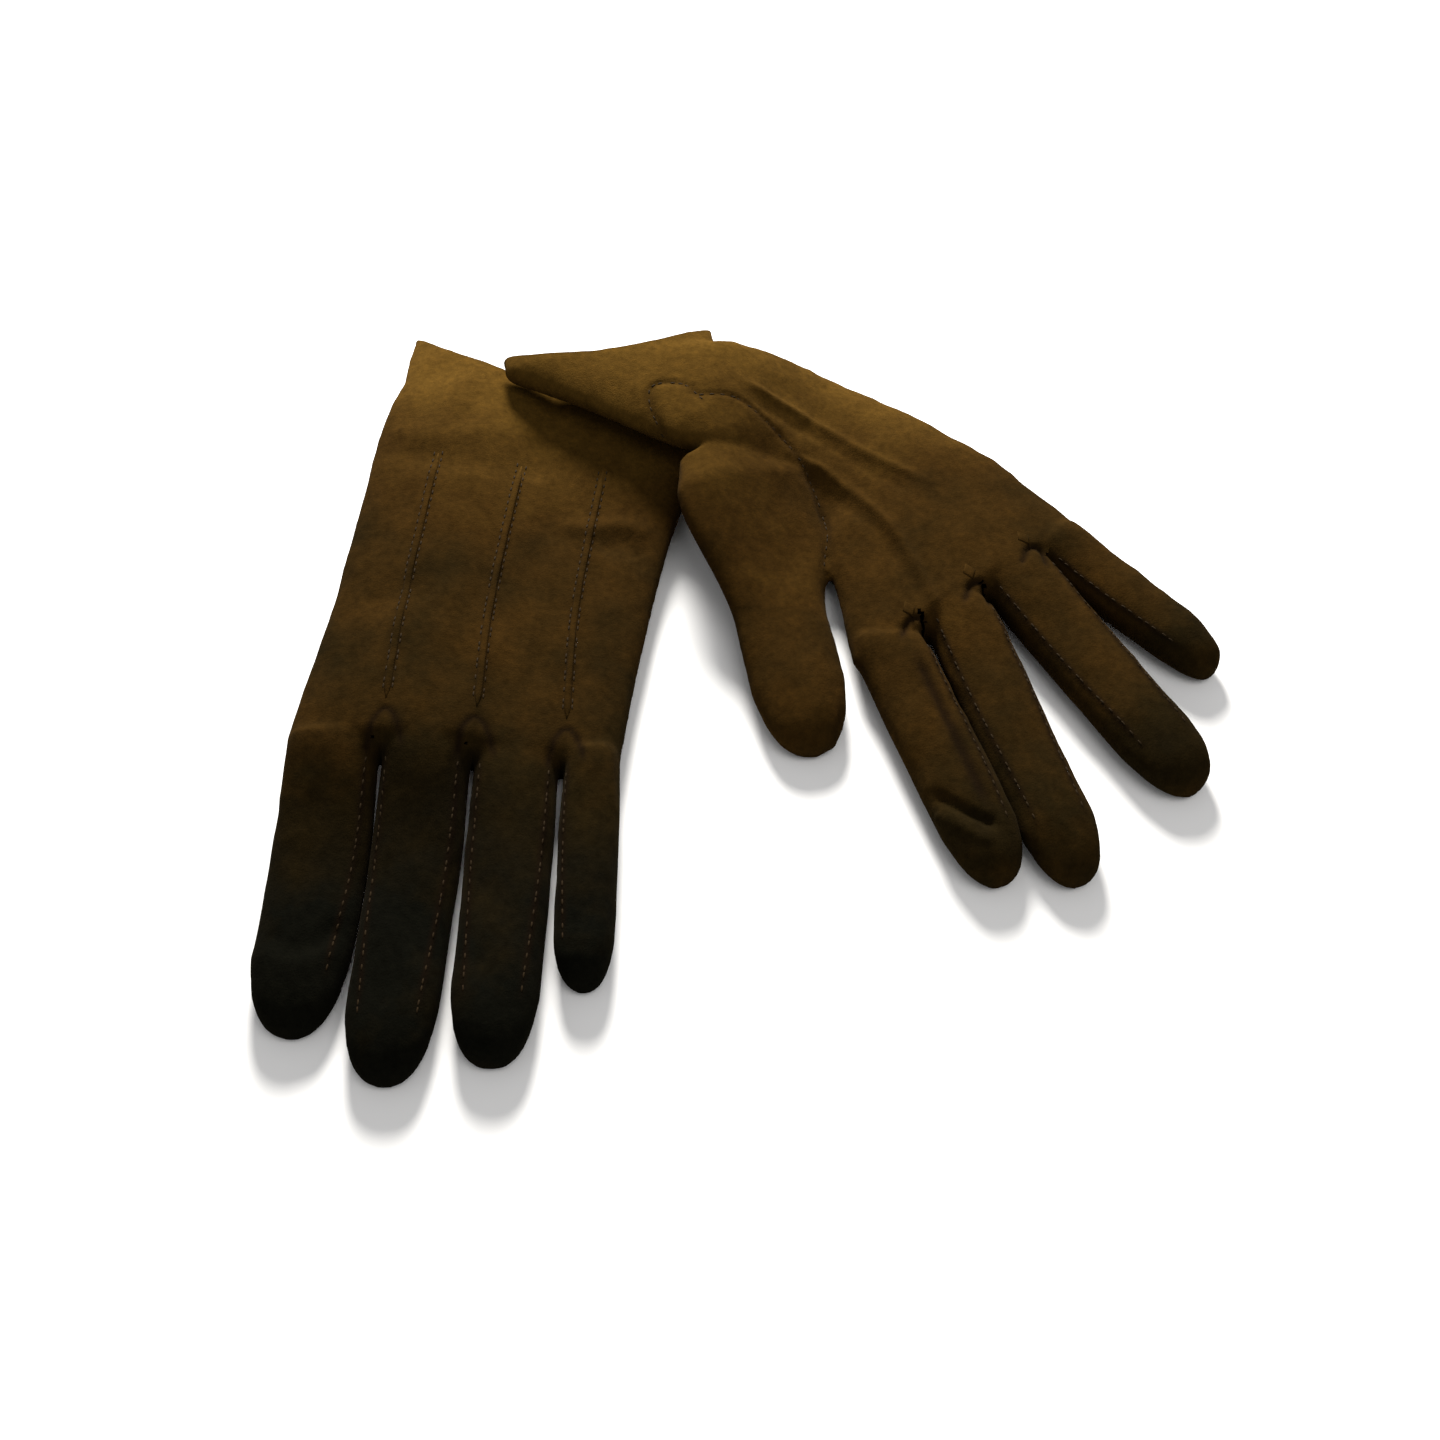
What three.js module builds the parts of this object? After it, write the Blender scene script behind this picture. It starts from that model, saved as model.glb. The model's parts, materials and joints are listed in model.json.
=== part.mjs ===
// A pair of gentlemen's leather dress gloves, laid down with the right cuff over the left one.
// Millimetres, +Z up, X across the pair, +Y from the fingertips towards the cuffs.
// The left glove lies back up, its thumb folded under the palm. The right glove lies palm up.
// Each glove is two panels, fourchettes between the fingers, quirks in the crotches, a thumb,
// a turned hem, a lining and three raised points on the back. Every digit turns on its own hinge.
import * as THREE from "three";

// Leather, lining and the clearances between pieces.
const LEATHER = 1.2;
const LINING = 0.6;
const LINING_SPACE = 1.2;
const LINING_SEAM_ANGLE = 0.05;
const GAP = 0.35;
const HINGE_GAP = 0.8;

// The hand of each glove, from the knuckle line to the hem.
const HAND_LENGTH = 145;
const HAND_HEIGHT = 15;
const CUFF_HEIGHT = 13.6;
const HEM_DEPTH = 14;
const HEM_DIP = { left: 15, right: 6 };
const HEM_DIP_POWER = 4;
// Sections are rounded boxes: a smaller power is squarer. The underside is pressed flat.
const SECTION = 0.85;
const FLAT = 0.6;

// The fingers, in order from the thumb side. Widths are measured along the knuckle line.
const FINGERS = ["index", "middle", "ring", "little"];
const FINGER_WIDTH = { index: 24, middle: 23, ring: 22, little: 15.6 };
const FINGER_LENGTH = { index: 82, middle: 92, ring: 88, little: 69 };
const FINGER_HEIGHT = HAND_HEIGHT - 2;
const FINGER_SPACE = 0.8;
// A digit's width at its tip, how steeply the tip rounds off, its least half size at the end, and
// the share of its length over which a wide base narrows.
const TIP_SHARE = 0.86;
const TIP_ROUND = 0.6;
const TIP_LEAST = 0.3;
const FLARE = 0.4;
// Half the angle that a fourchette spans at the crotch, the share of the finger where it would run
// out, the part of that run that is cut, and how much of its slot it fills.
const FOURCHETTE_ANGLE = 0.5;
const FOURCHETTE_REACH = 0.8;
const FOURCHETTE_CUT = 0.85;
const STRIP_FIT = 0.94;
// Rows of facets along a digit, where 1 to 2 go round its tip, and columns over each half.
const DIGIT_ROWS = [0, 0.12, 0.3, 0.5, 0.7, 0.88, 1, 1.35, 1.65, 1.85, 2];
const DIGIT_COLUMNS = 6;

// The thumbs. The left one is pressed flat under the palm.
const THUMB_WIDTH = 27;
const THUMB_BASE_WIDTH = { left: 28, right: 41 };
const THUMB_LENGTH = 98;
const THUMB_HEIGHT = { left: 8.6, right: 13 };
const THUMB_HOLE_ANGLE = 0.5;

// The left glove rises over its thumb: the level run around the thumb, and how far each slope goes.
const THUMB_MARGIN = 1.5;
const RISE_ACROSS = 25;
const RISE_TO_CUFF = 25;
const RISE_TO_TIPS = 50;
// The right glove comes down off the left one over this run, from an edge line between two shares.
const FALL = 42;
const REST_SHARES = [0.5, 0.9];

// Raised points on the backs, and the quirks in the crotches.
const POINT_NAMES = ["thumb_side", "middle", "outer"];
const QUIRK_NAMES = ["index_middle", "middle_ring", "ring_little"];
const POINT_WIDTH = 2;
const POINT_HEIGHT = 0.9;
const POINT_START = 5;
const POINT_LENGTH = 88;
const QUIRK_WIDTH = 5;
const QUIRK_LENGTH = 4;

// How each glove lies. A station gives the place of the middle of the hand as shares of its length,
// seen from the knuckles, the turn of the line across it, and its width.
const LAY = {
  left: {
    knuckles: [-70.5, -17],
    headings: { index: 0, middle: -1.5, ring: -0.5, little: 0.5 },
    curl: { index: 1, middle: 1, ring: 1, little: 1 },
    stations: [
      { at: [0, 0], turn: 0 },
      { at: [0.03, 0.26], turn: 0, width: 88 },
      { at: [0.06, 0.52], turn: 0, width: 93 },
      { at: [0.1, 0.76], turn: 0, width: 98 },
      { at: [0.14, 0.93], turn: -2, width: 97 },
    ],
    thumb: { at: [-93.5, 90], heading: 0, skew: 0, hole: [0.5, 0.75] },
  },
  right: {
    knuckles: [73, 40],
    headings: { index: 15.5, middle: 14, ring: 26, little: 41 },
    curl: { index: 1, middle: 1, ring: 1, little: 0.87 },
    stations: [
      { at: [0, 0], turn: 36.6 },
      { at: [-0.052, 0.186], turn: 18, width: 69 },
      { at: [-0.138, 0.341], turn: 27, width: 54 },
      { at: [-0.42, 0.472], turn: 43, width: 64 },
      { at: [-0.62, 0.538], turn: 27, width: 59 },
      { at: [-0.762, 0.641], turn: 11, width: 64 },
    ],
    thumb: { at: [8.5, 76.5], heading: 9.3, skew: 17, hole: [0.4, 0.6] },
  },
};

const LEATHER_LOOK = { color: 0x32200c, roughness: 0.92, metalness: 0 };
const LINING_LOOK = { color: 0x6a4a24, roughness: 0.95, metalness: 0 };

const radians = THREE.MathUtils.degToRad;
const ease = (value) => THREE.MathUtils.smoothstep(value, 0, 1);
const mix = THREE.MathUtils.lerp;
const steps = (from, to, count) => Array.from({ length: count + 1 }, (_, i) => mix(from, to, i / count));
const power = (value, exponent) => Math.sign(value) * Math.abs(value) ** exponent;

const palmWidth = FINGERS.reduce((sum, name) => sum + FINGER_WIDTH[name], 0)
  + FINGER_SPACE * (FINGERS.length - 1);

// The middle line, the half line across and the height of a hand, each smooth along it.
function handFrame(side) {
  const { knuckles, stations } = LAY[side];
  const middle = [];
  const across = [];
  stations.forEach(({ at, turn, width }, i) => {
    const share = i / (stations.length - 1);
    const half = (i ? width : palmWidth) / 2;
    const angle = radians(turn);
    middle.push(new THREE.Vector3(knuckles[0] + at[0] * HAND_LENGTH, knuckles[1] + at[1] * HAND_LENGTH, 0));
    across.push(new THREE.Vector3(half * Math.cos(angle), half * Math.sin(angle),
      mix(HAND_HEIGHT, CUFF_HEIGHT, share)));
  });
  return {
    middle: new THREE.CatmullRomCurve3(middle, false, "catmullrom", 0.5),
    across: new THREE.CatmullRomCurve3(across, false, "catmullrom", 0.5),
  };
}
const frames = { left: handFrame("left"), right: handFrame("right") };

// A place on the edge of a hand: which is -1 on the thumb side of the left glove, +1 opposite.
function edgePoint(side, share, which) {
  const across = frames[side].across.getPoint(share);
  const place = frames[side].middle.getPoint(share);
  return new THREE.Vector2(place.x + which * across.x, place.y + which * across.y);
}

// The left glove rises over the thumb folded under it, and comes down again around it.
function leftRise(x, y) {
  const [thumbX, thumbY] = LAY.left.thumb.at;
  const room = THUMB_HEIGHT.left + 2 * GAP;
  const beside = thumbX + THUMB_BASE_WIDTH.left / 2 + THUMB_MARGIN;
  const behind = thumbY + THUMB_BASE_WIDTH.left / 2;
  const before = thumbY - THUMB_LENGTH - THUMB_MARGIN;
  const acrossShare = 1 - ease((x - beside) / RISE_ACROSS);
  const cuffShare = 1 - ease((y - behind) / RISE_TO_CUFF);
  const tipShare = 1 - ease((before - y) / RISE_TO_TIPS);
  return room * acrossShare * cuffShare * tipShare;
}

// The right glove lies on the left one's outer edge, and falls to the ground beside it.
const [restFrom, restTo] = REST_SHARES.map((share) => edgePoint("left", share, 1));
function rightRise(x, y) {
  const run = restTo.clone().sub(restFrom).normalize();
  const beyond = (x - restFrom.x) * run.y - (y - restFrom.y) * run.x;
  const room = CUFF_HEIGHT + LEATHER + 4 * GAP;
  return POINT_HEIGHT + 2 * GAP + room * (1 - ease(beyond / FALL));
}
const rise = { left: leftRise, right: rightRise };

// The skin of a hand: share runs from the knuckles to the hem, angle goes round the section.
function handSkin(side) {
  const { middle, across } = frames[side];
  return (share, angle, offset) => {
    const place = middle.getPoint(share);
    const half = across.getPoint(share);
    const along = middle.getTangent(share);
    const reach = Math.hypot(half.x, half.y);
    const sideways = power(Math.cos(angle), SECTION) * (reach + offset) / reach;
    const dip = HEM_DIP[side] * share ** HEM_DIP_POWER * sideways ** 2;
    const x = place.x + half.x * sideways + along.x * dip;
    const y = place.y + half.y * sideways + along.y * dip;
    const flat = Math.sin(angle) < 0 ? FLAT : 0;
    const height = power(Math.sin(angle), SECTION) * (half.z / 2 + flat + offset);
    const bottom = -half.z / 2 - offset;
    return new THREE.Vector3(x, y, GAP + half.z / 2 + Math.max(height, bottom) + rise[side](x, y));
  };
}

// The skin of a digit. Rows 0 to 1 run along it, and rows 1 to 2 go round its tip.
function digitSkin(side, digit) {
  const heading = radians(digit.heading);
  const ahead = new THREE.Vector2(Math.sin(heading), -Math.cos(heading));
  const beside = new THREE.Vector2(Math.cos(heading), Math.sin(heading));
  const tip = digit.width * TIP_SHARE / 2;
  return (row, angle, offset) => {
    const share = Math.min(row, 1);
    const turn = Math.max(row - 1, 0) * Math.PI / 2;
    const flare = 1 - ease(share / FLARE);
    const half = mix(digit.width / 2, tip, share) + flare * (digit.baseWidth - digit.width) / 2;
    const wide = Math.max((half + offset) * Math.cos(turn), TIP_LEAST);
    const tall = Math.max((digit.height / 2 + offset) * Math.cos(turn) ** TIP_ROUND, TIP_LEAST);
    const across = wide * power(Math.cos(angle), SECTION);
    const run = share * (digit.length - tip) + (tip + offset) * Math.sin(turn)
      + across * Math.tan(radians(digit.skew)) * flare;
    const x = digit.at.x + ahead.x * run + beside.x * across;
    const y = digit.at.y + ahead.y * run + beside.y * across;
    const lift = digit.underneath ? 0 : rise[side](x, y);
    return new THREE.Vector3(x, y, GAP + digit.height / 2 + tall * power(Math.sin(angle), SECTION) + lift);
  };
}

// A closed piece of sheet between two offsets of a skin. Angles may change from row to row, and a
// ring goes all the way round.
function sheet(skin, rows, angles, inner, outer, lift = 0, ring = false) {
  const points = [];
  const columns = angles(rows[0]).length;
  for (const offset of [outer, inner]) {
    for (const row of rows) {
      for (const angle of angles(row)) {
        const point = skin(row, angle, offset);
        points.push(point.x, point.y, point.z + lift);
      }
    }
  }
  const at = (face, i, j) => (face * rows.length + i) * columns + (j % columns);
  const index = [];
  const quad = (a, b, c, d) => index.push(a, b, c, a, c, d);
  const last = rows.length - 1;
  const spans = ring ? columns : columns - 1;
  for (let j = 0; j < spans; j += 1) {
    for (let i = 0; i < last; i += 1) {
      quad(at(0, i, j), at(0, i, j + 1), at(0, i + 1, j + 1), at(0, i + 1, j));
      quad(at(1, i, j), at(1, i + 1, j), at(1, i + 1, j + 1), at(1, i, j + 1));
    }
    quad(at(0, 0, j), at(1, 0, j), at(1, 0, j + 1), at(0, 0, j + 1));
    quad(at(0, last, j), at(0, last, j + 1), at(1, last, j + 1), at(1, last, j));
  }
  for (let i = 0; i < last && !ring; i += 1) {
    quad(at(0, i, 0), at(0, i + 1, 0), at(1, i + 1, 0), at(1, i, 0));
    quad(at(0, i, spans), at(1, i, spans), at(1, i + 1, spans), at(0, i + 1, spans));
  }
  const geometry = new THREE.BufferGeometry();
  geometry.setAttribute("position", new THREE.Float32BufferAttribute(points, 3));
  geometry.setIndex(index);
  return facingOut(geometry);
}

// The same geometry with its faces pointing out.
function facingOut(geometry) {
  const place = geometry.getAttribute("position");
  const index = geometry.getIndex().array;
  const corner = [new THREE.Vector3(), new THREE.Vector3(), new THREE.Vector3()];
  let volume = 0;
  for (let i = 0; i < index.length; i += 3) {
    corner.forEach((point, k) => point.fromBufferAttribute(place, index[i + k]));
    volume += corner[0].dot(corner[1].cross(corner[2]));
  }
  if (volume < 0) {
    for (let i = 0; i < index.length; i += 3) {
      [index[i + 1], index[i + 2]] = [index[i + 2], index[i + 1]];
    }
  }
  return geometry;
}

const pair = new THREE.Group();
const hinges = {};
function add(name, geometry, look = LEATHER_LOOK) {
  const mesh = new THREE.Mesh(geometry, new THREE.MeshStandardMaterial(look));
  mesh.name = name;
  pair.add(mesh);
}

// Where the crotch after finger i lies across the palm, from -1 to 1.
function crotchShare(i) {
  let run = -FINGER_SPACE / 2;
  for (const name of FINGERS.slice(0, i + 1)) {
    run += FINGER_WIDTH[name] + FINGER_SPACE;
  }
  return 1 - 2 * run / palmWidth;
}

// The angle of a raised point over crotch i, and half the angle that it spans.
const pointAngle = (i) => Math.acos(power(-crotchShare(i), 1 / SECTION));
const pointSpread = POINT_WIDTH / palmWidth;

// Panel rows and columns meet the raised points, so that a point lies flat on its panel.
const hemStart = 1 - HEM_DEPTH / HAND_LENGTH;
const pointRows = steps(POINT_START / HAND_LENGTH, (POINT_START + POINT_LENGTH) / HAND_LENGTH, 7);
const hemRows = steps(hemStart, 1, 2);
const panelRows = [0, ...pointRows, ...steps(pointRows.at(-1), hemStart, 3).slice(1), ...hemRows.slice(1)];
function panelAngles(from, to) {
  const marks = [from];
  for (let i = POINT_NAMES.length - 1; i >= 0; i -= 1) {
    marks.push(pointAngle(i) - pointSpread, pointAngle(i) + pointSpread);
  }
  marks.sort((a, b) => a - b);
  marks.push(to);
  const angles = [];
  for (let i = 0; i < marks.length - 1; i += 1) {
    const isPoint = i % 2 === 1;
    angles.push(...steps(marks[i], marks[i + 1], isPoint ? 1 : 2).slice(0, -1));
  }
  angles.push(to);
  return angles;
}

// The two panels, the hem, the lining and the points of one hand.
function addHand(side) {
  const skin = handSkin(side);
  const [holeFrom, holeTo] = LAY[side].thumb.hole;
  const thumbHole = (row) => row > holeFrom && row < holeTo ? THUMB_HOLE_ANGLE : 0;
  const top = (row) => panelAngles(0, Math.PI - thumbHole(row));
  const bottom = (row) => top(row).map((angle) => -angle);
  const [back, palm] = side === "left" ? [top, bottom] : [bottom, top];
  const backLift = side === "left" ? GAP : -GAP;
  add(`${side}_back_panel`, sheet(skin, panelRows, back, -LEATHER, 0, backLift));
  add(`${side}_palm_panel`, sheet(skin, panelRows, palm, -LEATHER, 0, -backLift));

  const hemOuter = -LEATHER - 2 * GAP;
  const ring = (row) => [...top(row), ...bottom(row).slice(1, -1).reverse()];
  add(`${side}_hem_facing`, sheet(skin, hemRows, ring, hemOuter - LEATHER, hemOuter, 0, true));
  const liningOuter = -LEATHER - LINING_SPACE;
  const share = GAP / HAND_LENGTH;
  const liningRows = [share, ...panelRows.filter((row) => row > share && row < hemStart), hemStart - 2 * share];
  const half = (row) => panelAngles(0, Math.PI - Math.max(thumbHole(row), LINING_SEAM_ANGLE));
  const around = (row) => [...half(row).slice(1).reverse().map((angle) => -angle), ...half(row)];
  add(`${side}_lining`, sheet(skin, liningRows, around, liningOuter - LINING, liningOuter), LINING_LOOK);
  POINT_NAMES.forEach((name, i) => {
    const sign = side === "left" ? 1 : -1;
    const angles = () => [-1, 0, 1].map((step) => sign * (pointAngle(i) + step * pointSpread));
    const shape = sheet(skin, pointRows, angles, 2 * GAP, 2 * GAP + POINT_HEIGHT, backLift);
    add(`${side}_back_point_${name}`, shape);
  });
}

// One digit in two halves, with a fourchette on each side that faces another finger.
function addDigit(side, name, digit) {
  const skin = digitSkin(side, digit);
  const widest = (share) => FOURCHETTE_ANGLE * Math.max(1 - share / FOURCHETTE_REACH, 0);
  const far = (row) => digit.farSide ? widest(row) : 0;
  const near = (row) => digit.nearSide ? widest(row) : 0;
  const top = (row) => steps(far(row), Math.PI - near(row), DIGIT_COLUMNS);
  const bottom = (row) => steps(Math.PI + near(row), 2 * Math.PI - far(row), DIGIT_COLUMNS);
  const upper = side === "left" ? "back" : "palm";
  const lower = side === "left" ? "palm" : "back";
  add(`${side}_${name}_${upper}`, sheet(skin, DIGIT_ROWS, top, -LEATHER, 0, GAP));
  add(`${side}_${name}_${lower}`, sheet(skin, DIGIT_ROWS, bottom, -LEATHER, 0, -GAP));
  const stripRows = steps(0, FOURCHETTE_REACH * FOURCHETTE_CUT, 6);
  if (digit.farSide) {
    const angles = (row) => [-1, 0, 1].map((step) => step * far(row) * STRIP_FIT);
    add(`${side}_${name}_fourchette_outer`, sheet(skin, stripRows, angles, -LEATHER, 0));
  }
  if (digit.nearSide) {
    const angles = (row) => [-1, 0, 1].map((step) => Math.PI + step * near(row) * STRIP_FIT);
    add(`${side}_${name}_fourchette_thumb_side`, sheet(skin, stripRows, angles, -LEATHER, 0));
  }
  const top0 = top(0).map((angle) => skin(0, angle, 0).z);
  const heading = radians(digit.heading);
  hinges[`${side}_${name}`] = {
    at: [digit.at.x, digit.at.y, Math.max(...top0) + GAP],
    axis: digit.underneath ? [0, 0, -1] : [-Math.cos(heading), -Math.sin(heading), 0],
  };
}

// The four fingers stand side by side on the knuckle line, a hinge gap in front of it.
function addFingers(side) {
  const { knuckles, stations, headings, curl } = LAY[side];
  const turn = radians(stations[0].turn);
  const ahead = new THREE.Vector2(Math.sin(turn), -Math.cos(turn));
  let run = -palmWidth / 2;
  FINGERS.forEach((name, i) => {
    const middle = run + FINGER_WIDTH[name] / 2;
    const skew = stations[0].turn - headings[name];
    const width = FINGER_WIDTH[name] * Math.cos(radians(skew));
    addDigit(side, name, {
      at: new THREE.Vector2(knuckles[0] + middle * Math.cos(turn) + ahead.x * HINGE_GAP,
        knuckles[1] + middle * Math.sin(turn) + ahead.y * HINGE_GAP),
      heading: headings[name],
      skew: -skew,
      width,
      baseWidth: width,
      length: FINGER_LENGTH[name] * curl[name],
      height: FINGER_HEIGHT,
      farSide: i < FINGERS.length - 1,
      nearSide: i > 0,
    });
    run += FINGER_WIDTH[name] + FINGER_SPACE;
  });
}

function addThumb(side) {
  const { at, heading, skew } = LAY[side].thumb;
  addDigit(side, "thumb", {
    at: new THREE.Vector2(...at),
    heading,
    skew,
    width: THUMB_WIDTH,
    baseWidth: THUMB_BASE_WIDTH[side],
    length: THUMB_LENGTH,
    height: THUMB_HEIGHT[side],
    underneath: side === "left",
  });
}

// A quirk is a small upright gusset that joins the two panels behind each crotch.
function addQuirks(side) {
  const skin = handSkin(side);
  QUIRK_NAMES.forEach((name, i) => {
    const middle = pointAngle(i);
    const half = QUIRK_WIDTH / palmWidth;
    const inside = -LEATHER - LINING_SPACE - LINING - GAP;
    const from = 2 * GAP / HAND_LENGTH;
    const to = from + QUIRK_LENGTH / HAND_LENGTH;
    const corners = [];
    for (const angleSign of [1, -1]) {
      for (const [share, shift] of [[from, 0], [(from + to) / 2, half], [to, 0], [(from + to) / 2, -half]]) {
        corners.push(skin(share, angleSign * (middle + shift), inside));
      }
    }
    const geometry = new THREE.BufferGeometry().setFromPoints(corners);
    geometry.setIndex([0, 1, 2, 0, 2, 3, 4, 6, 5, 4, 7, 6, 0, 4, 5, 0, 5, 1,
      1, 5, 6, 1, 6, 2, 2, 6, 7, 2, 7, 3, 3, 7, 4, 3, 4, 0]);
    add(`${side}_quirk_${name}`, facingOut(geometry));
  });
}

for (const side of ["left", "right"]) {
  addHand(side);
  addQuirks(side);
  addFingers(side);
  addThumb(side);
}

// The origin is under the middle of the pair, on the surface that it lies on.
const box = new THREE.Box3().setFromObject(pair);
const centre = box.getCenter(new THREE.Vector3());
pair.position.set(-centre.x, -centre.y, -box.min.z);
const gloves = new THREE.Group();
gloves.add(pair);
gloves.userData.hinges = hinges;

export default gloves;
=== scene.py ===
import json
import math

import bmesh
import bpy
import numpy as np
from mathutils import Matrix, Vector, noise
from mathutils.bvhtree import BVHTree


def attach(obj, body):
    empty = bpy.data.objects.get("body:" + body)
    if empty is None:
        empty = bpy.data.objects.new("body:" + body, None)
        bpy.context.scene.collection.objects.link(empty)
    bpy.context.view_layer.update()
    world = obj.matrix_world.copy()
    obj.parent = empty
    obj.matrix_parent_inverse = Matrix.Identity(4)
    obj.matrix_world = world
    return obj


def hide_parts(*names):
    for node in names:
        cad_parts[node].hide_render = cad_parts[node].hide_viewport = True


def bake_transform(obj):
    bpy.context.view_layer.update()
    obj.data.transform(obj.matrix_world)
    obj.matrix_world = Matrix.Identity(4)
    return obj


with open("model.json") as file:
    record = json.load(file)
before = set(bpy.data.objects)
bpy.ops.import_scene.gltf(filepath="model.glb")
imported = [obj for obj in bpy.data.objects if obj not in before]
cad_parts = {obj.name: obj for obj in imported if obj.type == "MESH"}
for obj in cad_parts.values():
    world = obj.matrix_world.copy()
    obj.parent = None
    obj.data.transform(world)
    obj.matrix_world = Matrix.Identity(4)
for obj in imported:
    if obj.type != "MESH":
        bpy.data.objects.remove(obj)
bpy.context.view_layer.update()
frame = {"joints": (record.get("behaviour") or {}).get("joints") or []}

# A pair of brown suede-leather dress gloves. Plan places are in millimetres, x across the pair and
# y towards the cuffs, and PLAN puts them in the row frame.
MM = 0.001
SIDES = ("left", "right")
FINGERS = ("index", "middle", "ring", "little")
hinges = {joint["name"]: joint for joint in frame["joints"]}


def hinge_place(name):
    return Vector(hinges[name]["pos_m"])


# The plan's zero, from the left index finger's hinge.
PLAN = hinge_place("left_index_bend") - Vector((-0.102, -0.0178, 0))
PLAN.z = 0

# ---------------------------------------------------------------- how the gloves lie
HAND = {
    "left": {
        "stations": [(-70.8, -17, 0, 88.6), (-66.2, 20.7, 0, 89), (-61.8, 58.4, 0, 93),
                     (-56.5, 93.2, 0, 100), (-52, 122.5, -2, 102)],
        "dip": (25, 12),
    },
    "right": {
        "stations": [(73, 40, 36.6, 88), (65.5, 67, 18, 71), (53, 89.4, 27, 55), (12.1, 108.4, 43, 65),
                     (-16.9, 118, 27, 60), (-34.6, 123.2, 11, 68)],
        "dip": (7, 8),
    },
}
HAND_HEIGHT = 14.0
CUFF_HEIGHT = 12.5
FLOOR_GAP = 0.3
FINGER_WIDTH = {"left": {"index": 25.2, "middle": 23.2, "ring": 22.4, "little": 15.8},
                "right": {"index": 23.2, "middle": 23.2, "ring": 24.0, "little": 18.0}}
FINGER_LENGTH = {"left": {"index": 78, "middle": 90, "ring": 85.5, "little": 66},
                 "right": {"index": 79, "middle": 93, "ring": 86, "little": 61}}
# How each finger leans from its hinge, in degrees, and how far it lies beside it.
LEAN = {"left": {"index": -1.0, "middle": 0.3, "ring": 0.1, "little": 0.2},
        "right": {"index": 2.9, "middle": 1.4, "ring": 3.0, "little": 0.0}}
ASIDE = {"left": {"index": -0.6, "middle": -0.2, "ring": 0.1, "little": 0.2},
         "right": {"index": 0.0, "middle": 0.6, "ring": 0.0, "little": -1.4}}
FINGER_HEIGHT = 12.6
VOXEL = 1.0
SMOOTH_PASSES = 9
LEATHER = 1.1
# Shares of a digit's own width, length or height.
TIP_CAP = 1.5
TAPER, BELLY, THINNING = 0.05, 0.035, 0.18
ROOT_RUN = 0.3
TIP_WIDE, TIP_TALL = 0.94, 0.83
# Where the sections of a round tip lie, as angles.
TIP_TURNS = (0.25, 0.5, 0.75, 0.95, 1.12, 1.27, 1.38, 1.47, 1.53)


def ease(value):
    """A smooth step from 0 to 1."""
    value = np.clip(value, 0, 1)
    return value * value * (3 - 2 * value)


def curve_point(points, share):
    """A uniform Catmull-Rom point on a list of number tuples."""
    spans = len(points) - 1
    place = min(max(share, 0), 1) * spans
    i = min(int(place), spans - 1)
    t = place - i
    p = [np.array(points[min(max(i + k, 0), spans)], float) for k in (-1, 0, 1, 2)]
    if i == 0:
        p[0] = 2 * p[1] - p[2]
    if i == spans - 1:
        p[3] = 2 * p[2] - p[1]
    return 0.5 * (2 * p[1] + (p[2] - p[0]) * t + (2 * p[0] - 5 * p[1] + 4 * p[2] - p[3]) * t * t
                  + (3 * p[1] - p[0] - 3 * p[2] + p[3]) * t ** 3)


def in_plan(places):
    """Places in the row frame, in metres, as places on the plan."""
    return (places - np.array(PLAN)) / MM


def directions(heading):
    """A digit's way ahead and its way to the side, as plan vectors."""
    return (np.array([math.sin(heading), -math.cos(heading)]),
            np.array([math.cos(heading), math.sin(heading)]))


THUMB_RISE = 9.0
# The left glove's outer edge, a place on it and its run, lifts the right glove, which then falls away.
EDGE_PLACE, EDGE_RUN = (-14.5, 66), (0.205, 0.979)
LOW, CUFF_RISE, FALL_RUN = 0.6, 15.2, 40


def left_rise(x, y):
    """The left glove rises over its folded thumb."""
    return THUMB_RISE * (1 - ease((x + 80) / 30)) * (1 - ease((y - 106) / 58)) * (1 - ease((-8 - y) / 50))


def right_rise(x, y):
    """The right glove lies on the left one's outer edge and falls to the ground beside it."""
    beyond = (x - EDGE_PLACE[0]) * EDGE_RUN[1] - (y - EDGE_PLACE[1]) * EDGE_RUN[0]
    return LOW + CUFF_RISE * (1 - ease(beyond / FALL_RUN))


RISE = {"left": left_rise, "right": right_rise}


# ---------------------------------------------------------------- closed lofts
def ring(bm, centre, across, height, side, power=0.82, segments=40):
    """One closed section: across is half its width as a plan vector, height is half its height."""
    made = bmesh.ops.create_circle(bm, segments=segments, radius=1)
    for vert in made["verts"]:
        angle = math.atan2(vert.co.y, vert.co.x)
        wide = math.copysign(abs(math.cos(angle)) ** power, math.cos(angle))
        tall = math.copysign(abs(math.sin(angle)) ** power, math.sin(angle))
        x = centre[0] + across[0] * wide
        y = centre[1] + across[1] * wide
        z = max(height + FLOOR_GAP + height * 1.06 * tall, FLOOR_GAP)
        if side:
            z += float(RISE[side](x, y))
        vert.co = (x, y, z)
    return made["verts"]


def loft(bm, rings):
    """Bridges the rings in order and closes both ends."""
    for a, b in zip(rings, rings[1:]):
        edges = {e for v in a + b for e in v.link_edges}
        loops = [e for e in edges if (e.verts[0] in a and e.verts[1] in a)
                 or (e.verts[0] in b and e.verts[1] in b)]
        bmesh.ops.bridge_loops(bm, edges=loops)
    for verts in (rings[0], rings[-1]):
        bm.faces.new(verts)


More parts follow.
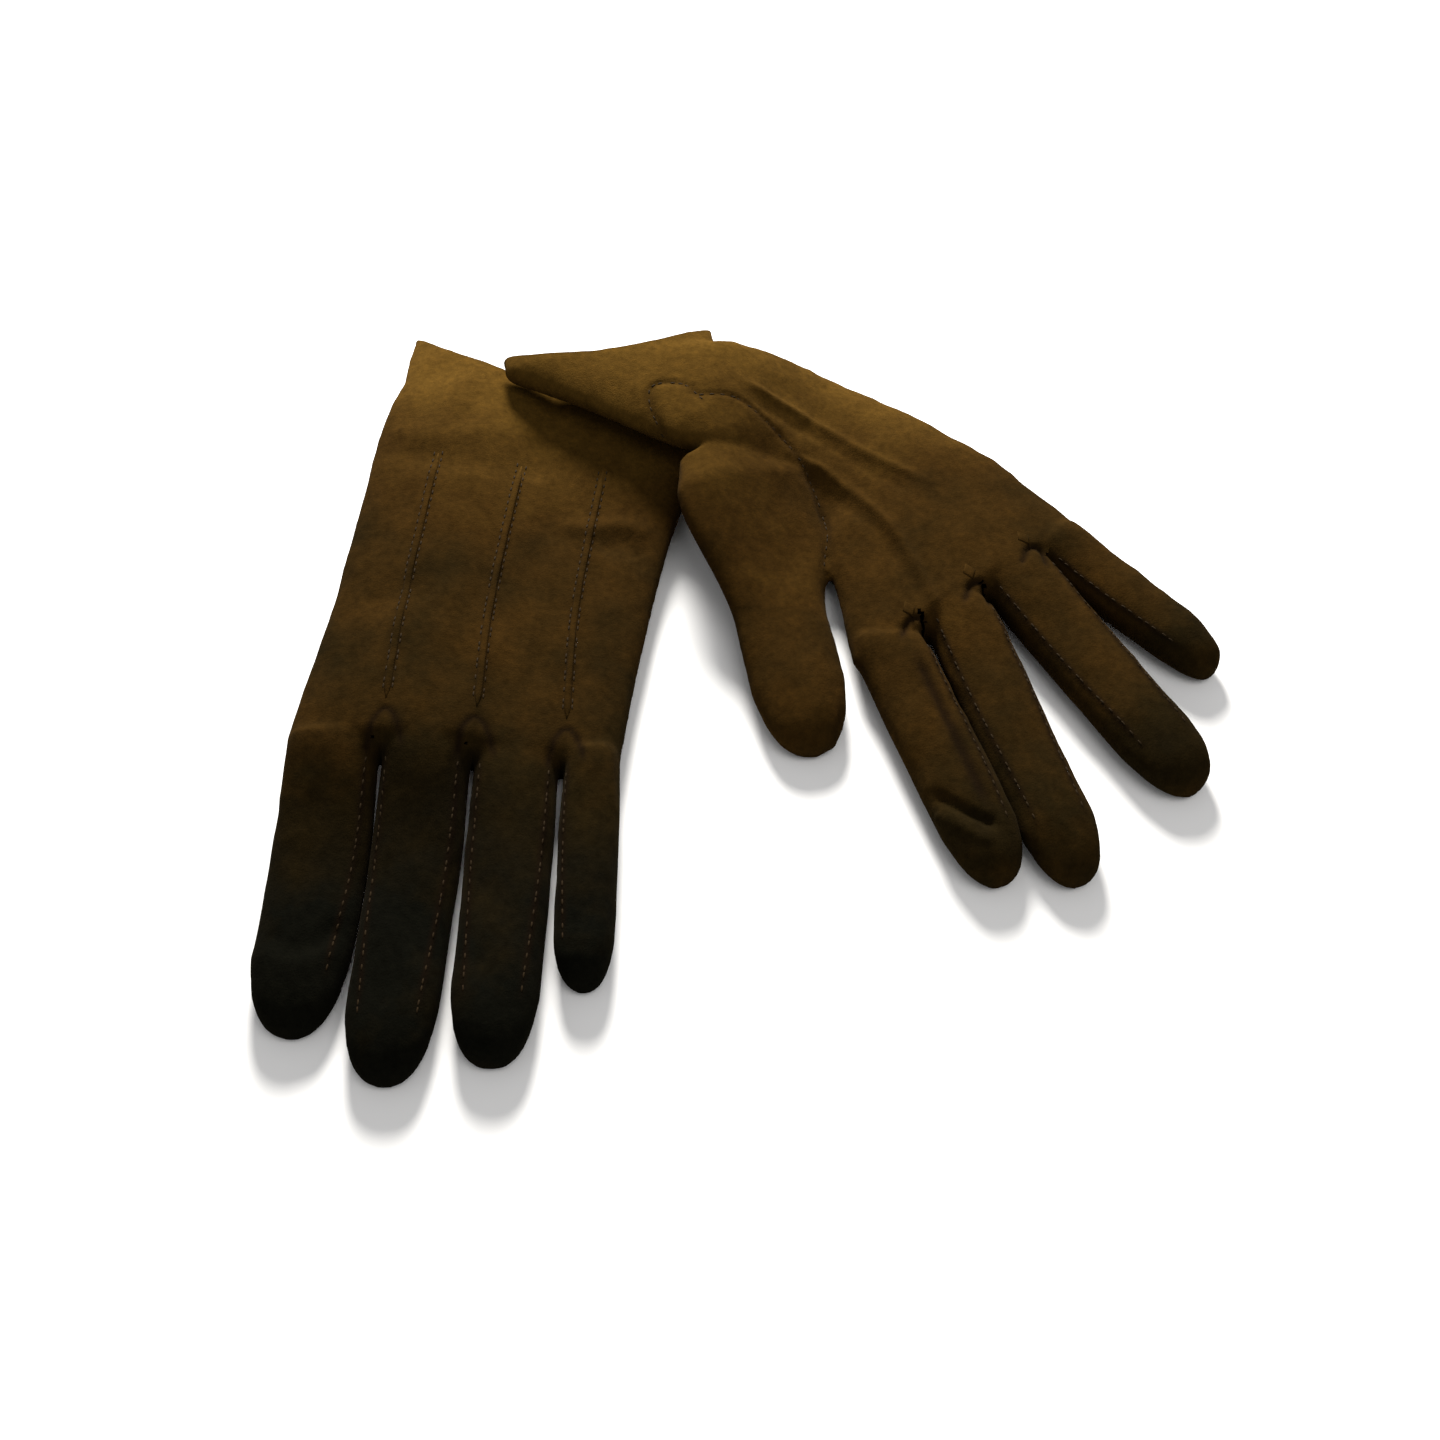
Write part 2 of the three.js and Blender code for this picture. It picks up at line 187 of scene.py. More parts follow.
def hand_rings(bm, side):
    """The hand's sections, from just ahead of the knuckles to well past the hem."""
    stations = [(x, y, w / 2 * math.cos(math.radians(t)), w / 2 * math.sin(math.radians(t)))
                for x, y, t, w in HAND[side]["stations"]]
    rings = []
    first = curve_point(stations, 0)
    ahead = np.array([first[3], -first[2]]) / math.hypot(first[2], first[3])
    rings.append(ring(bm, first[:2] + ahead * 4, first[2:] * 0.99, 6.0, side))
    for share in np.linspace(0, 1, 22):
        x, y, ax, ay = curve_point(stations, share)
        height = (HAND_HEIGHT + (CUFF_HEIGHT - HAND_HEIGHT) * share) / 2
        rings.append(ring(bm, (x, y), (ax, ay), height, side))
    last = curve_point(stations, 1)
    outward = np.array([-last[3], last[2]]) / math.hypot(last[2], last[3])
    rings.append(ring(bm, last[:2] + outward * 36, last[2:] * 1.04, CUFF_HEIGHT / 2, side))
    return rings


def digit_rings(bm, side, base, heading, skew, half, base_half, length, height, base_height, back=5.0,
                flare_run=0.42):
    """A finger or thumb, from a little behind its hinge to a long round tip."""
    ahead, beside = directions(heading)
    cap = half * TIP_CAP
    rings = []
    runs = [-back, -back / 2, 0] + list(np.linspace(5, length - cap, 12))
    for run in runs:
        share = max(run, 0) / length
        flare = 1 - ease(share / flare_run)
        taper = 1 - TAPER * share + BELLY * math.sin(math.pi * min(share, 1))
        wide = half * taper + (base_half - half) * flare
        rooted = 1 - ease(share / ROOT_RUN)
        tall = height / 2 * (1 - THINNING * share) + (base_height - height) / 2 * rooted
        emerging = 0.72 + 0.28 * ease((run + back) / (back + 1))
        wide, tall = wide * (0.5 + 0.5 * emerging), tall * emerging
        centre = base + ahead * run
        rings.append(ring(bm, centre, beside * wide + ahead * wide * math.tan(skew) * flare, tall,
                          side, segments=28))
    for turn in TIP_TURNS:
        wide = half * TIP_WIDE * math.cos(turn) ** 0.8
        tall = height / 2 * TIP_TALL * math.cos(turn) ** 0.62
        centre = base + ahead * (length - cap + cap * math.sin(turn))
        rings.append(ring(bm, centre, beside * wide, tall, side, segments=28))
    return rings


DIGITS = {side: {} for side in SIDES}
for side in SIDES:
    for name in FINGERS:
        place = (hinge_place(f"{side}_{name}_bend") - PLAN) / MM
        axis = hinges[f"{side}_{name}_bend"]["axis"]
        across = np.array([-axis[0], -axis[1]])
        DIGITS[side][name] = {
            "base": np.array(place[:2]) + across * ASIDE[side][name],
            "heading": math.atan2(-axis[1], -axis[0]) + math.radians(LEAN[side][name]),
            "length": FINGER_LENGTH[side][name],
            "half": FINGER_WIDTH[side][name] / 2 * math.cos(
                math.atan2(-axis[1], -axis[0]) - math.radians(HAND[side]["stations"][0][2])),
            "height": FINGER_HEIGHT, "joint": f"{side}_{name}_bend",
        }
DIGITS["left"]["thumb"] = {
    "base": np.array((-93.5, 90)), "heading": 0, "length": 97,
    "half": 13, "height": 8.2, "joint": "left_thumb_swing",
}
DIGITS["right"]["thumb"] = {
    "base": np.array((9.3, 76.5)), "heading": math.radians(10.3), "length": 92,
    "half": 13.8, "height": 12.6, "joint": "right_thumb_bend",
}


def build_volume(side, fingers):
    """The closed solid of one glove with these fingers joined on, at voxel resolution."""
    bm = bmesh.new()
    loft(bm, hand_rings(bm, side))
    turn = HAND[side]["stations"][0][2]
    for name in fingers:
        d = DIGITS[side][name]
        skew = d["heading"] - math.radians(turn)
        loft(bm, digit_rings(bm, side, d["base"], d["heading"], -skew, d["half"], d["half"] * 0.985,
                             d["length"], d["height"], HAND_HEIGHT))
    if side == "right":
        d = DIGITS[side]["thumb"]
        loft(bm, digit_rings(bm, side, d["base"], d["heading"], math.radians(-17), d["half"], 24,
                             d["length"], d["height"], HAND_HEIGHT, back=14, flare_run=0.55))
    return skinned(bm, f"{side}_volume")


def skinned(bm, name):
    """The bmesh's closed lofts as one even, smoothed skin in the row frame."""
    for vert in bm.verts:
        vert.co = vert.co * MM + PLAN
    bmesh.ops.recalc_face_normals(bm, faces=bm.faces)
    mesh = bpy.data.meshes.new(name)
    bm.to_mesh(mesh)
    bm.free()
    piece = placed(name, mesh)
    remesh = piece.modifiers.new("skin", "REMESH")
    remesh.mode = "VOXEL"
    remesh.voxel_size = VOXEL * MM
    smooth = piece.modifiers.new("ease", "SMOOTH")
    smooth.factor = 0.5
    smooth.iterations = SMOOTH_PASSES
    graph = bpy.context.evaluated_depsgraph_get()
    made = bpy.data.meshes.new_from_object(piece.evaluated_get(graph))
    bpy.data.objects.remove(piece)
    return made


def placed(name, mesh):
    """The mesh as a piece in the scene."""
    piece = bpy.data.objects.new(name, mesh)
    bpy.context.scene.collection.objects.link(piece)
    return piece


# ---------------------------------------------------------------- skin detail
TOP, UNDER, BOTH = 1, -1, 0
# A line narrower than SEAM_HALF is a seam, which takes painted shade; a wider one is a fold.
SEAM_HALF = 1.5
# How deep the painted shade is in the soft seams of points and thumb, and in the other seams.
SOFT_SEAM_SHADE, DEEP_SEAM_SHADE = 0.35, 0.8
# The leather's slack: how high its broad waves, its crumple and its creases stand.
BROAD, CRUMPLE, CREASE = 0.55, 0.22, 0.55
POINT_STARTS = (-88.5, -65, -41.5)
CROTCH_Y = -13
RIGHT_POINTS = (((54, 33), (20, 92)), ((71, 46), (32, 103)), ((88, 59), (46, 110)))
RIGHT_CROTCHES = ((55, 24), (74, 37), (92, 51))


def point_path(side, i):
    """The plan path of one raised point, from behind its crotch towards the cuff."""
    if side == "left":
        x = POINT_STARTS[i]
        return [(x, CROTCH_Y + 4), (x + 0.3, 30), (x + (x + 66) * 0.05 + 4, 84)]
    near, far = RIGHT_POINTS[i]
    return [near, tuple((np.array(near) + np.array(far)) / 2 + np.array((2.0, 1.5))), far]


def finger_line(side, name, offset, start, end):
    """A plan line beside a finger's middle: offset as a share of its half width, then two runs."""
    d = DIGITS[side][name]
    ahead, beside = directions(d["heading"])
    wide = d["half"] * offset
    middle = 0.5 * (start + end)
    return [tuple(d["base"] + ahead * run + beside * wide * shrink)
            for run, shrink in ((start, 1), (middle, 0.97), (end, 0.78))]


def skin_lines(side):
    """Ridges and folds in plan: (name, points, half width, height, face)."""
    lines = []
    if side == "left":
        for i, x in enumerate(POINT_STARTS):
            lines.append((f"point_{i}", point_path(side, i), 0.9, 0.55, TOP))
            hook = [(x + 5.5, CROTCH_Y - 10), (x + 3.2, CROTCH_Y - 2), (x, CROTCH_Y + 1),
                    (x - 3, CROTCH_Y - 3), (x - 4.2, CROTCH_Y - 12)]
            lines.append((f"crotch_{i}", hook, 0.6, -0.35, BOTH))
        lines += [
            ("fold_outer", [(-48, 62), (-40, 60), (-30, 63), (-20, 60)], 3.2, 0.9, TOP),
            ("dip_outer", [(-36, 53), (-28, 55), (-24, 50)], 4.0, -1.1, TOP),
            ("dip_thumb", [(-100, 24), (-88, 30), (-80, 26)], 6.0, -0.9, TOP),
            ("fold_wrist", [(-104, 96), (-84, 92), (-62, 97)], 5.0, 0.7, TOP),
            ("dip_wrist", [(-98, 84), (-76, 80), (-52, 84)], 5.0, -0.7, TOP),
            ("tip_fold", [(-113, -72), (-103, -76), (-93, -69)], 3.0, -0.6, TOP),
            ("tip_fold_edge", [(-114, -76), (-103, -80), (-94, -74)], 3.0, 0.3, TOP),
        ]
    else:
        lines += [
            ("palm_ridge", [(22, 90), (34, 83), (50, 62), (58, 42), (64, 23)], 1.5, 1.2, TOP),
            ("palm_ridge_side", [(24, 84), (33, 77), (47, 59), (54, 42)], 2.2, -0.7, TOP),
            ("palm_fold", [(6, 112), (29, 104), (48, 89), (63, 79)], 1.5, 1.0, TOP),
            ("palm_fold_side", [(8, 106), (29, 98), (46, 84), (60, 73)], 2.2, -0.6, TOP),
            ("thumb_inner_seam", [(-9, 102), (7, 103), (24, 89), (32, 66), (31, 50)], 0.8, -0.6, TOP),
            ("thumb_oval_seam", [(-12, 70), (-15, 84), (-21, 97), (-21, 106), (-12, 107), (-5, 100)],
             0.9, -0.6, TOP),
            ("index_fold", [(56, -31), (64, -37), (72, -41)], 1.5, -1.8, TOP),
            ("index_fold_edge", [(56, -36), (63, -42), (70, -46)], 1.8, 0.9, TOP),
            ("index_split", finger_line("right", "index", 0.35, 10, 60), 1.2, -0.7, TOP),
            ("thumb_rim", [(2, 12), (8, -4), (14, -14), (24, -18), (31, -12), (33, 2)], 0.6, 0.4, BOTH),
        ]
        for i, (x, y) in enumerate(RIGHT_CROTCHES):
            lines.append((f"crotch_{i}", [(x - 4, y - 6), (x - 1, y + 1), (x + 3, y + 1), (x + 4, y - 6)],
                          0.7, -0.9, BOTH))
    for i, name in enumerate(FINGERS):
        length = DIGITS[side][name]["length"]
        for sign in (-1, 1):
            has_neighbour = (i > 0) if sign < 0 else (i < len(FINGERS) - 1)
            if has_neighbour:
                lines.append((f"{name}_seam_{sign}", finger_line(side, name, sign * 0.8, 4, length * 0.82),
                              0.5, 0.4, BOTH))
    return lines


def distance_to(points, path):
    """Distance in plan of every point to a line through the path, and how far along it lies."""
    best = np.full(len(points), 1e9)
    along = np.zeros(len(points))
    path = np.array(smooth_path(path), float)
    steps = np.linalg.norm(np.diff(path, axis=0), axis=1)
    start = 0.0
    for a, b, step in zip(path, path[1:], steps):
        t = np.clip(((points - a) @ (b - a)) / max(step * step, 1e-9), 0, 1)
        gap = np.linalg.norm(points - (a + t[:, None] * (b - a)), axis=1)
        nearer = gap < best
        best = np.where(nearer, gap, best)
        along = np.where(nearer, start + t * step, along)
        start += step
    return best, along / steps.sum()


def smooth_path(path, count=18):
    """The path as a smooth curve of that many points."""
    return [tuple(curve_point([tuple(p) for p in path], share)) for share in np.linspace(0, 1, count)]


def noise_field(points, size, seed, octaves=2):
    """Smooth noise at every point, about -1 to 1; size is its grain in millimetres."""
    shift = Vector((seed * 17.3, seed * 5.1, seed * 9.7))
    return np.array([noise.fractal(Vector(p) / size + shift, 1.0, 2.0, octaves) for p in points])


def positions(mesh):
    """Every vertex's place, in metres."""
    flat = np.empty(len(mesh.vertices) * 3)
    mesh.vertices.foreach_get("co", flat)
    return flat.reshape(-1, 3)


def set_positions(mesh, places):
    mesh.vertices.foreach_set("co", places.ravel())
    mesh.update()


def face_centres(mesh):
    """Every face's middle, in metres."""
    flat = np.empty(len(mesh.polygons) * 3)
    mesh.polygons.foreach_get("center", flat)
    return flat.reshape(-1, 3)


def normals(mesh):
    """The way that every vertex faces."""
    flat = np.empty(len(mesh.vertices) * 3, np.float32)
    mesh.vertex_normals.foreach_get("vector", flat)
    return flat.reshape(-1, 3).astype(float)


def detail(mesh, side):
    """Raises the seams and folds on the skin and returns each vertex's painted shade in its seams and
    crotches.
    """
    places = positions(mesh)
    facing = normals(mesh)
    plan = in_plan(places)
    flat = plan[:, :2]
    up = facing[:, 2]
    top_share = ease((up + 0.1) / 0.5)
    under_share = ease((-up + 0.1) / 0.5)
    push = np.zeros(len(plan))
    dark = np.zeros(len(plan))
    for name, path, half, height, face in skin_lines(side):
        gap, along = distance_to(flat, path)
        share = {TOP: top_share, UNDER: under_share, BOTH: np.maximum(top_share, under_share)}[face]
        ends = ease(along / 0.12) * ease((1 - along) / 0.12)
        bump = np.exp(-(gap / half) ** 2) * share * (0.25 + 0.75 * ends)
        push += height * bump
        # Narrow lines take painted shade, for the shade that falls in seams, in crotches and between
        # fingers.
        if half < SEAM_HALF:
            strength = SOFT_SEAM_SHADE if name.startswith(("point", "thumb")) else DEEP_SEAM_SHADE
            dark = np.maximum(dark, np.exp(-(gap / (half * 1.5)) ** 2) * share * (0.3 + 0.7 * ends)
                              * strength)
    stretch = plan * np.array([1.0, 0.55, 1.0])
    broad = noise_field(plan, 26, 1) * BROAD
    crumple = noise_field(stretch, 9, 2, 3) * CRUMPLE
    creases = -np.abs(noise_field(stretch, 13, 3)) * CREASE
    push += (broad + crumple + creases) * (0.35 + 0.65 * top_share)
    places = places + facing * (push * MM)[:, None]
    places[:, 2] = np.maximum(places[:, 2], FLOOR_GAP * MM)
    set_positions(mesh, places)
    return dark


# ---------------------------------------------------------------- from volume to shell
# The rim within HEM_RIM of the hem stands out by HEM_ROUND, which rounds it over.
HEM_RIM, HEM_ROUND = 1.5, 0.5
# How far inside the hem the turned facing ends and starts, and where the lining starts.
HEM_DEPTH, HEM_EDGE = 13, 1.2
LINING_START = 14
# The facing and the lining: how thick, and how far inside the leather.
LINER, LINER_GAP = 0.6, 0.1
# The least height of a shell's inner wall above the ground.
INNER_LIFT = 0.5
# The folded left thumb's one even level of painted light and shade.
THUMB_TONE = 0.3


def hem_frame(side):
    """The hem's middle, the way along it, the way out of the cuff and half its width."""
    x, y, turn, width = HAND[side]["stations"][-1]
    across = np.array([math.cos(math.radians(turn)), math.sin(math.radians(turn))])
    outward = np.array([-across[1], across[0]])
    return np.array([x, y]), across, outward, width / 2


def hem_dip(share, side):
    """How far each corner of the hem stands out, by its share of the half width."""
    low, high = HAND[side]["dip"]
    return np.where(share < 0, low, high) * share ** 2


def hem_beyond(plan, side):
    """How far past the hem each plan point lies; the hem's corners stand out further."""
    middle, across, outward, half = hem_frame(side)
    rel = plan[:, :2] - middle
    share = np.clip(rel @ across / half, -1.2, 1.2)
    return rel @ outward - hem_dip(share, side)


def cut_hem(mesh, side):
    """Opens the cuff along its curved hem: straightens it, cuts on a plane and bends it back."""
    middle, across, outward, half = hem_frame(side)
    out = np.array([outward[0], outward[1], 0])
    places = positions(mesh)
    plan = in_plan(places)
    share = np.clip((plan[:, :2] - middle) @ across / half, -1.2, 1.2)
    dip = hem_dip(share, side) * ease(((plan[:, :2] - middle) @ outward + 70) / 60)
    set_positions(mesh, places - out * (dip * MM)[:, None])
    bm = bmesh.new()
    bm.from_mesh(mesh)
    shares = bm.verts.layers.float.new("dip")
    bm.verts.ensure_lookup_table()
    for vert, value in zip(bm.verts, dip):
        vert[shares] = value
    plane = Vector((middle[0] * MM, middle[1] * MM, 0)) + PLAN
    bmesh.ops.bisect_plane(bm, geom=bm.verts[:] + bm.edges[:] + bm.faces[:], dist=1e-7, plane_co=plane,
                           plane_no=Vector(out), clear_outer=True)
    for vert in bm.verts:
        vert.co += Vector(out) * vert[shares] * MM
    bm.to_mesh(mesh)
    bm.free()
    mesh.update()


def shell(mesh, name, keep, seams, painted_light_levels, facing, gap=0.0, thick=LEATHER, round_hem=None):
    """The faces picked by keep as a closed shell of their own, gap inside the skin and thick inwards."""
    bm = bmesh.new()
    bm.from_mesh(mesh)
    bm.faces.ensure_lookup_table()
    # Each vertex keeps its painted seam shade, its level of painted light and shade, and its skin normal.
    seam = bm.verts.layers.float.new("seam")
    painted_light = bm.verts.layers.float.new("painted_light")
    normal = bm.verts.layers.float_vector.new("skin_normal")
    for vert, dark, light, way in zip(bm.verts, seams, painted_light_levels, facing):
        vert[seam] = dark
        vert[painted_light] = light
        vert[normal] = Vector(way)
    bmesh.ops.delete(bm, geom=[f for f, kept in zip(bm.faces, keep) if not kept], context="FACES")
    bmesh.ops.delete(bm, geom=[v for v in bm.verts if not v.link_faces], context="VERTS")
    rim = [e for e in bm.edges if e.is_boundary]
    outer = bm.verts[:]
    made = bmesh.ops.duplicate(bm, geom=bm.verts[:] + bm.edges[:] + bm.faces[:])
    pairs = made["vert_map"]
    inner = [g for g in made["geom"] if isinstance(g, bmesh.types.BMVert)]
    bmesh.ops.reverse_faces(bm, faces=[g for g in made["geom"] if isinstance(g, bmesh.types.BMFace)])
    for vert in outer:
        vert.co -= vert[normal].normalized() * gap * MM
    for vert in inner:
        vert.co -= vert[normal].normalized() * (gap + thick) * MM
        vert[normal] = -vert[normal]
        vert.co.z = max(vert.co.z, (INNER_LIFT + gap) * MM)
    middles = {}
    if round_hem:
        beyond, out = round_hem
        for vert in {v for e in rim for v in e.verts}:
            if beyond(in_plan(np.array([vert.co])))[0] > -HEM_RIM:
                place = (vert.co + pairs[vert].co) / 2 + out * HEM_ROUND * MM
                middles[vert] = bm.verts.new(place)
                middles[vert][normal] = out
                middles[vert][seam] = 0.0
                middles[vert][painted_light] = vert[painted_light]
    for edge in rim:
        a, b = edge.verts
        if edge.link_loops[0].vert == a:
            a, b = b, a
        if a in middles and b in middles:
            bm.faces.new((a, b, middles[b], middles[a]))
            bm.faces.new((middles[a], middles[b], pairs[b], pairs[a]))
        elif a in middles:
            bm.faces.new((a, b, pairs[b], pairs[a], middles[a]))
        elif b in middles:
            bm.faces.new((a, b, middles[b], pairs[b], pairs[a]))
        else:
            bm.faces.new((a, b, pairs[b], pairs[a]))
    piece_mesh = bpy.data.meshes.new(name)
    bm.to_mesh(piece_mesh)
    bm.free()
    piece_mesh.polygons.foreach_set("use_smooth", [True] * len(piece_mesh.polygons))
    way = np.empty(len(piece_mesh.vertices) * 3, np.float32)
    piece_mesh.attributes["skin_normal"].data.foreach_get("vector", way)
    piece_mesh.normals_split_custom_set_from_vertices([tuple(v) for v in way.reshape(-1, 3)])
    return placed(name, piece_mesh)


SPLIT_RUN = {"left": 2.0, "right": 3.0}
THUMB_SPLIT = 21


def digit_of_faces(mesh, side, fingers):
    """Which digit each face belongs to: 0 the hand, then the thumb and the fingers in order."""
    count = len(mesh.polygons)
    plan = in_plan(face_centres(mesh))[:, :2]
    owner = np.zeros(count, int)
    best = np.full(count, 1e9)
    names = ("thumb",) + fingers if side == "right" else fingers
    spare = 2.5 if fingers == FINGERS else 1.2
    for name in names:
        d = DIGITS[side][name]
        ahead, beside = directions(d["heading"])
        run = (plan - d["base"]) @ ahead
        wide = (plan - d["base"]) @ beside
        start, limit = SPLIT_RUN[side], d["half"] + spare
        if name == "thumb":
            # The palm lies close beside the thumb on the index side only.
            start = THUMB_SPLIT
            limit = np.where(wide > 0, d["half"] + 3.0, d["half"] + 12)
        wide = np.abs(wide)
        inside = (run > start) & (run < d["length"] + 6) & (wide < limit) & (wide < best)
        owner[inside] = 1 + (("thumb",) + FINGERS).index(name)
        best[inside] = wide[inside]
    return owner


# Each glove's level of painted light over the hand, and how far the painted shade deepens towards the
# fingertips.
SHADE = {"left": (0.42, 0.5), "right": (0.5, 0.2)}
CUFF_RUN = 90


def painted_light_levels(mesh, side):
    """The painted light and shade at each vertex, which lightens and warms the leather: 0, the deepest
    painted shade, at the fingertips, 1 at the hem.
    """
    plan = in_plan(positions(mesh))
    cuff = ease((hem_beyond(plan, side) + CUFF_RUN) / CUFF_RUN)
    base = np.mean([DIGITS[side][name]["base"] for name in FINGERS], axis=0)
    ahead = np.mean([directions(DIGITS[side][name]["heading"])[0] for name in FINGERS], axis=0)
    forward = ease(((plan[:, :2] - base) @ ahead + 12) / 85)
    middle, fall = SHADE[side]
    return np.clip(middle + (1.0 - middle) * cuff - fall * forward, 0, 1)


def skin_of(side, fingers):
    """The finished outer skin of a glove with these fingers, and what its shells are cut from."""
    mesh = build_volume(side, fingers)
    cut_hem(mesh, side)
    seams = detail(mesh, side)
    beyond = hem_beyond(in_plan(face_centres(mesh)), side)
    return {"mesh": mesh, "seams": seams, "facing": normals(mesh), "painted_light": painted_light_levels(mesh, side),
            "owner": digit_of_faces(mesh, side, fingers), "beyond": beyond}


def cut_from(skin, name, keep, bare=False, **options):
    """The kept faces of a skin as a shell; a bare one takes no painted seam shade."""
    seams = skin["seams"] * (0 if bare else 1)
    return shell(skin["mesh"], name, keep, seams, skin["painted_light"], skin["facing"], **options)


def glove(side):
    """All the leather shells of one glove, with their lining and turned hem.

    Neighbouring fingers almost touch, so they are cut from two skins that hold every other finger."""
    whole = skin_of(side, FINGERS)
    owner, beyond = whole["owner"], whole["beyond"]
    out = hem_frame(side)[2]
    rounding = (lambda plan: hem_beyond(plan, side), Vector((out[0], out[1], 0)))
    made = {"skins": {"hand": whole["mesh"]}}
    made["hand"] = cut_from(whole, f"{side}_glove_hand", owner == 0, round_hem=rounding)
    if side == "right":
        made["thumb"] = cut_from(whole, "right_glove_thumb", owner == 1)
    for fingers in (FINGERS[::2], FINGERS[1::2]):
        part = skin_of(side, fingers)
        for name in fingers:
            number = 2 + FINGERS.index(name)
            made[name] = cut_from(part, f"{side}_glove_{name}", part["owner"] == number)
            made["skins"][name] = part["mesh"]
    inside = {"gap": LEATHER + LINER_GAP, "thick": LINER, "bare": True}
    turned_in = (owner == 0) & (beyond > -HEM_DEPTH) & (beyond < -HEM_EDGE)
    made["facing"] = cut_from(whole, f"{side}_glove_hem", turned_in, **inside)
    lined = (owner == 0) & (beyond < -LINING_START)
    made["lining"] = cut_from(whole, f"{side}_glove_lining", lined, **inside)
    return made


def left_thumb():
    """The left thumb lies folded flat under the palm: a closed flat shell of its own."""
    d = DIGITS["left"]["thumb"]
    bm = bmesh.new()
    loft(bm, digit_rings(bm, None, d["base"], d["heading"], 0, d["half"], 14, d["length"], d["height"],
                         d["height"], back=3))
    mesh = skinned(bm, "left_thumb_volume")
    count = len(mesh.vertices)
    return shell(mesh, "left_glove_thumb", np.ones(len(mesh.polygons), bool), np.zeros(count),
                 np.full(count, THUMB_TONE), normals(mesh))


# ---------------------------------------------------------------- materials
def nodes_of(name):
    """A new material with its node tree and its surface node."""
    material = bpy.data.materials.new(name)
    material.use_nodes = True
    tree = material.node_tree
    tree.nodes.clear()
    surface = tree.nodes.new("ShaderNodeBsdfPrincipled")
    output = tree.nodes.new("ShaderNodeOutputMaterial")
    tree.links.new(surface.outputs["BSDF"], output.inputs["Surface"])
    return material, tree, surface


def add(tree, kind, inputs=None, **settings):
    """A node whose inputs are set to values or linked to sockets."""
    node = tree.nodes.new(kind)
    for key, value in settings.items():
        setattr(node, key, value)
    for key, value in (inputs or {}).items():
        if isinstance(value, bpy.types.NodeSocket):
            tree.links.new(value, node.inputs[key])
        else:
            node.inputs[key].default_value = value
    return node


def cloud(tree, place, scale, detail_level, roughness):
    """A noise pattern over the piece."""
    inputs = {"Vector": place, "Scale": scale, "Detail": detail_level, "Roughness": roughness}
    return add(tree, "ShaderNodeTexNoise", inputs).outputs["Fac"]


def ramp(tree, factor, stops):
    """Colours blended between stops, each a place from 0 to 1 and a colour."""
    node = add(tree, "ShaderNodeValToRGB", {"Fac": factor})
    elements = node.color_ramp.elements
    while len(elements) < len(stops):
        elements.new(0.5)
    for element, (place, colour) in zip(elements, stops):
        element.position = place
        element.color = (*colour, 1)
    return node.outputs["Color"]


def mixed(tree, factor, a, b, blend="MIX"):
    """Two colours mixed by a factor."""
    node = add(tree, "ShaderNodeMix", {"Factor": factor}, data_type="RGBA", blend_type=blend)
    for key, value in ((6, a), (7, b)):
        if isinstance(value, bpy.types.NodeSocket):
            tree.links.new(value, node.inputs[key])
        else:
            node.inputs[key].default_value = (*value, 1)
    return node.outputs[2]


# Leather colours by level: the random patches move along it, and so does the painted falloff, whose dark
# end is painted shade at the fingertips and whose warm end is painted light at the cuff.
DARK_TO_WARM = (
    (0.0, (0.0033, 0.0033, 0.0022)),
    (0.3, (0.0105, 0.0068, 0.0022)),
    (0.55, (0.027, 0.0135, 0.003)),
    (0.8, (0.042, 0.022, 0.0044)),
    (1.0, (0.062, 0.033, 0.0062)),
)
FLECKS = ((0.3, (0.74, 0.73, 0.72)), (0.5, (1.0, 1.0, 1.0)), (0.7, (1.3, 1.26, 1.2)))
# The near black of the painted shade in seams and crotches.
SEAM_SHADE_COLOUR = (0.006, 0.0035, 0.002)


